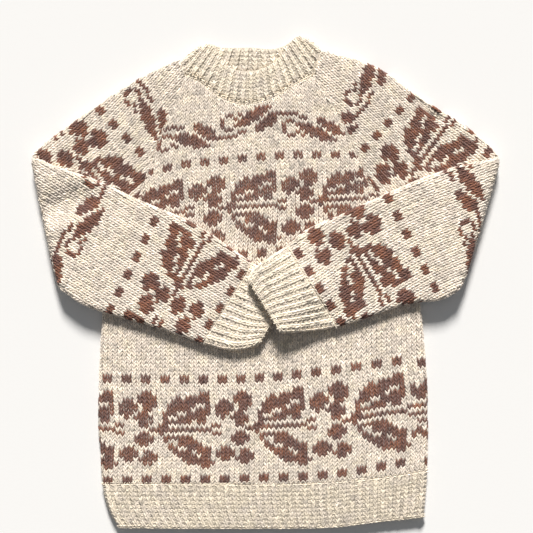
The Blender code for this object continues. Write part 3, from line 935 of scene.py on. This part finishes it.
class PULLOVER_OT_lay_cloth(bpy.types.Operator):
    """Lay a softly rounded wall of cloth in place of each CAD node"""

    bl_idname = "pullover.lay_cloth"
    bl_label = "Lay the cloth"

    def execute(self, context):
        for node, levels, *_ in CLOTHS:
            add_cloth(node, levels)
        return {"FINISHED"}


class PULLOVER_OT_knit_body(bpy.types.Operator):
    """Knit the stitches and motif bands of the front"""

    bl_idname = "pullover.knit_body"
    bl_label = "Knit the front"

    def execute(self, context):
        edges = [turned_edge(SIDE_LEFT[::-1]), turned_edge(SIDE_RIGHT)]
        wrap = Wrap(faces_of("body_front"), edges, most_turn=BODY_TURN)
        cover = all_faces()
        parts = []
        for side, columns in (("front", (BODY_C[0], SIDE_COLUMN)), ("back", (SIDE_COLUMN, BODY_C[1]))):
            parts.append(lay_stitches(wrap, cover, body_lattice, columns, BODY_R, BANDS[side]))
        add_motif_stitches("body_front", np.concatenate(parts))
        return {"FINISHED"}


class PULLOVER_OT_knit_sleeves(bpy.types.Operator):
    """Knit the stitches and motif bands of both sleeves"""

    bl_idname = "pullover.knit_sleeves"
    bl_label = "Knit the sleeves"

    def execute(self, context):
        cover = all_faces()
        for side, plan in SLEEVES.items():
            tree = faces_of("sleeve_" + side)
            # The cloth is on the left of each edge, so the two sleeves run opposite ways round.
            way = 1 if side == "left" else -1
            top = turned_edge(plan["lower_top"][::-way])
            under = turned_edge(plan["lower_under"][::way])
            fold = turned_edge(plan["fold"][::way], FOLD_RADIUS, 0.0)
            lower = Wrap(tree, (top, under, fold), lowest=LAYER_SPLIT, most_turn=FOREARM_TURN)
            upper_top = turned_edge(plan["upper_top"][::way])
            upper = Wrap(tree, (upper_top,), highest=LAYER_SPLIT, most_turn=UPPER_TURN)
            parts = []
            for part, wrap in (("lower", lower), ("upper", upper)):
                key = (side, part)
                lattice = sleeve_lattice(key)
                parts.append(lay_stitches(wrap, cover, lattice, SLEEVE_C, SLEEVE_R, BANDS[key]))
            add_motif_stitches("sleeve_" + side, np.concatenate(parts))
        return {"FINISHED"}


def hem_plan():
    """The front half of the hem laid flat, from its bound-off edge up."""
    return patch(through(HEM_EDGE), through(HEM_SEAM), through(HEM_LEFT), through(HEM_RIGHT))


def cuff_plan(side):
    """A cuff laid flat, from its seam to its bound-off end."""
    plan = SLEEVES[side]
    top, under = plan["cuff_top"], plan["cuff_under"]
    return patch(through((top[0], under[0])), through((top[-1], under[-1])), through(top), through(under))


def collar_plan(neck, top):
    """One wall of the collar laid flat, from the neck to its folded edge."""
    base = chain(through(COLLAR_LEFT), through(neck), through(COLLAR_RIGHT))
    edge = through(top)

    def at(across, along):
        share = along[..., None]
        return (1 - share) * base(across) + share * edge(across)

    return at


def width_of(plan, along):
    """How wide a plan is at shares of its length."""
    nought = np.zeros_like(along)
    return np.linalg.norm(plan(nought + 1, along) - plan(nought, along), axis=-1)


def rib_lattice(plan, ribs, rows, inset, back):
    """Where stitches lie on a ribbed piece: one column to a rib, moved back by a share of a column."""

    def at(c, r):
        along = r / rows
        width = width_of(plan, along)
        return plan((inset + (c - back) * (width - 2 * inset) / ribs) / width, along)

    return at


def edge_lattice(plan, along):
    """Where the stitches of a bound-off edge lie: rows run along the edge, at a share of the length."""

    def at(c, r):
        level = np.full(c.shape, along)
        return plan(EDGE_PITCH * r / width_of(plan, level), level)

    return at


def knit_ribbing(wrap, cover, lattice, ribs, rows, purl_sink=PURL_SINK):
    """Columns of knit stitches on the ribs and of purl stitches in the valleys between them."""
    first, last = -RIB_SPARE, ribs + RIB_SPARE
    knit = lay_stitches(wrap, cover, lattice, (first, last), (0, rows), (), RIB_SHARE)

    def between(c, r):
        return lattice(c - 0.5, r)

    purl = lay_stitches(wrap, cover, between, (first, last + 1), (0, rows), (), PURL_SHARE, purl_sink)
    return np.concatenate([knit, purl])


class PULLOVER_OT_knit_ribs(bpy.types.Operator):
    """Knit the ribs of the hem, the cuffs and the collar"""

    bl_idname = "pullover.knit_ribs"
    bl_label = "Knit the ribs"

    def execute(self, context):
        cover = all_faces()
        edges = [turned_edge(HEM_LEFT[::-1]), turned_edge(HEM_RIGHT)]
        wrap = Wrap(faces_of("hem_front"), edges, most_turn=BODY_TURN)
        lattice = rib_lattice(hem_plan(), HEM_RIBS, HEM_ROWS, HEM_INSET, 0.5)
        stitches = knit_ribbing(wrap, cover, lattice, HEM_RIBS, HEM_ROWS, HEM_PURL_SINK)
        # The hem's wool is the rib wool with painted shade
        add_stitches("hem_front", "ribs", stitches, "hem_shaded_wool", Lean=RIB_LEAN)
        for side, plan in SLEEVES.items():
            way = 1 if side == "left" else -1
            edges = [turned_edge(plan["cuff_top"][::-way]), turned_edge(plan["cuff_under"][::way])]
            wrap = Wrap(faces_of("cuff_" + side), edges, lowest=LAYER_SPLIT, most_turn=CUFF_TURN)
            lattice = rib_lattice(cuff_plan(side), CUFF_RIBS, CUFF_ROWS, HALF, 0.0)
            stitches = knit_ribbing(wrap, cover, lattice, CUFF_RIBS, CUFF_ROWS)
            add_stitches("cuff_" + side, "ribs", stitches, "rib_wool", Lean=RIB_LEAN)
        tree = faces_of("collar")
        parts = []
        for neck, top, ribs, wrap in (
            (NECK_FRONT, COLLAR_TOP_FRONT, COLLAR_FRONT_RIBS, Wrap(tree, lowest=COLLAR_SPLIT)),
            (NECK_BACK, COLLAR_TOP_BACK, COLLAR_BACK_RIBS, Wrap(tree, highest=COLLAR_SPLIT)),
        ):
            lattice = rib_lattice(collar_plan(neck, top), ribs, COLLAR_ROWS + COLLAR_ROOM, 0.0, 0.5)
            parts.append(knit_ribbing(wrap, cover, lattice, ribs, COLLAR_ROWS))
        add_stitches("collar", "ribs", np.concatenate(parts), "rib_wool", Lean=RIB_LEAN)
        return {"FINISHED"}


class PULLOVER_OT_sew_seams(bpy.types.Operator):
    """Sew the pieces together with a column of stitches along each seam"""

    bl_idname = "pullover.sew_seams"
    bl_label = "Sew the seams"

    def execute(self, context):
        cover = all_faces()
        seams = [
            ("sleeve_left", "raglan_seam", ("body_front",), RAGLAN_LEFT),
            ("sleeve_right", "raglan_seam", ("body_front",), RAGLAN_RIGHT),
            ("collar", "neck_seam", ("body_front",), NECK_FRONT),
            ("collar", "left_seam", ("body_front", "sleeve_left"), SHOULDER_LEFT),
            ("collar", "right_seam", ("body_front", "sleeve_right"), SHOULDER_RIGHT),
            ("hem_front", "seam", ("body_front",), HEM_SEAM),
        ]
        for side, plan in SLEEVES.items():
            ends = (plan["cuff_top"][0], plan["cuff_under"][0])
            seams.append(("cuff_" + side, "seam", ("sleeve_" + side,), ends))
        for node, kind, neighbours, points in seams:
            lowest, highest = (LAYER_SPLIT, SKY) if node.startswith("cuff") else (0.0, LAYER_SPLIT)
            wrap = Wrap(faces_of(*neighbours, node), lowest=lowest, highest=highest)
            finish = "rib_wool" if node in RIBBED else "cream_wool"
            add_stitches(node, kind, lay_seam(wrap, cover, points), finish)
        return {"FINISHED"}


class PULLOVER_OT_bind_off(bpy.types.Operator):
    """Finish the ends of the hem and the cuffs with a chain of yarn"""

    bl_idname = "pullover.bind_off"
    bl_label = "Bind off the edges"

    def execute(self, context):
        cover = all_faces()
        pieces = [("hem_front", hem_plan(), HEM_CHAIN, 0.0)]
        pieces += [("cuff_" + side, cuff_plan(side), CUFF_CHAIN, LAYER_SPLIT) for side in SLEEVES]
        for node, plan, along, lowest in pieces:
            wrap = Wrap(faces_of(node), lowest=lowest)
            stitches = lay_stitches(wrap, cover, edge_lattice(plan, along), (0, 1), (0, EDGE_STITCHES))
            stitches[:, WIDTH] = EDGE_WIDTH * MM
            add_stitches(node, "bound_edge", stitches, "rib_wool")
        return {"FINISHED"}


class PULLOVER_OT_set_stage(bpy.types.Operator):
    """Put the pullover on a pale floor under soft light, with the camera straight above"""

    bl_idname = "pullover.set_stage"
    bl_label = "Set the stage"

    def execute(self, context):
        stage = context.scene.pullover_stage
        mesh = bpy.data.meshes.new("floor")
        side = 3.0
        corners = [(-side, -side, 0), (side, -side, 0), (side, side, 0), (-side, side, 0)]
        mesh.from_pydata(corners, [], [(0, 1, 2, 3)])
        settings = {"Base Color": (0.9, 0.895, 0.885, 1), "Roughness": 0.9, "Specular IOR Level": 0.1}
        paper, graph, shader = new_material("pale_paper", settings)
        place = graph.add("ShaderNodeTexCoord").outputs["Object"]
        graph.bump(shader, 0.1, 0.0005, graph.noise(place, 300.0, 3.0))
        mesh.materials.append(paper)
        floor = add_object("floor", mesh)
        floor.location.z = FLOOR_DROP * -MM

        sun = bpy.data.lights.new("window_light", "SUN")
        sun.energy = stage.sun
        sun.angle = stage.softness
        sun.color = (1.0, 0.975, 0.94)
        lamp = add_object("window_light", sun)
        lamp.rotation_euler = (-(math.pi / 2 - stage.elevation), 0, stage.heading)

        world = bpy.data.worlds.new("soft_room")
        world.use_nodes = True
        background = world.node_tree.nodes["Background"]
        background.inputs["Color"].default_value = (0.93, 0.96, 1.0, 1)
        background.inputs["Strength"].default_value = stage.fill
        context.scene.world = world

        lens = bpy.data.cameras.new("camera")
        lens.lens = stage.lens
        lens.sensor_width = 36.0
        lens.dof.use_dof = False
        camera = add_object("camera", lens)
        height = stage.view_width * lens.lens / lens.sensor_width
        camera.location = (*(MM * value for value in VIEW_CENTRE), height)
        camera.location.z += FLAT * MM
        context.scene.camera = camera
        context.scene.view_settings.view_transform = "Standard"
        return {"FINISHED"}


class PULLOVER_PT_panel(bpy.types.Panel):
    """Makes the pullover's looks step by step"""

    bl_idname = "PULLOVER_PT_panel"
    bl_label = "Pullover"
    bl_space_type = "VIEW_3D"
    bl_region_type = "UI"
    bl_category = "Pullover"

    def draw(self, context):
        for settings in (context.scene.pullover_yarn, context.scene.pullover_stage):
            for name in settings.bl_rna.properties.keys():
                if name not in ("rna_type", "name"):
                    self.layout.prop(settings, name)
        for step in STEPS:
            self.layout.operator(step.bl_idname)


STEPS = (
    PULLOVER_OT_lay_cloth,
    PULLOVER_OT_knit_body,
    PULLOVER_OT_knit_sleeves,
    PULLOVER_OT_knit_ribs,
    PULLOVER_OT_sew_seams,
    PULLOVER_OT_bind_off,
    PULLOVER_OT_set_stage,
)
CLASSES = (PULLOVER_PG_yarn, PULLOVER_PG_stage, *STEPS, PULLOVER_PT_panel)


def register():
    for each in CLASSES:
        bpy.utils.register_class(each)
    bpy.types.Scene.pullover_yarn = PointerProperty(type=PULLOVER_PG_yarn)
    bpy.types.Scene.pullover_stage = PointerProperty(type=PULLOVER_PG_stage)


def unregister():
    del bpy.types.Scene.pullover_stage
    del bpy.types.Scene.pullover_yarn
    for each in reversed(CLASSES):
        bpy.utils.unregister_class(each)


def main():
    register()
    bpy.ops.pullover.lay_cloth()
    bpy.ops.pullover.knit_body()
    bpy.ops.pullover.knit_sleeves()
    bpy.ops.pullover.knit_ribs()
    bpy.ops.pullover.sew_seams()
    bpy.ops.pullover.bind_off()
    bpy.ops.pullover.set_stage()


if __name__ == "__main__":
    main()
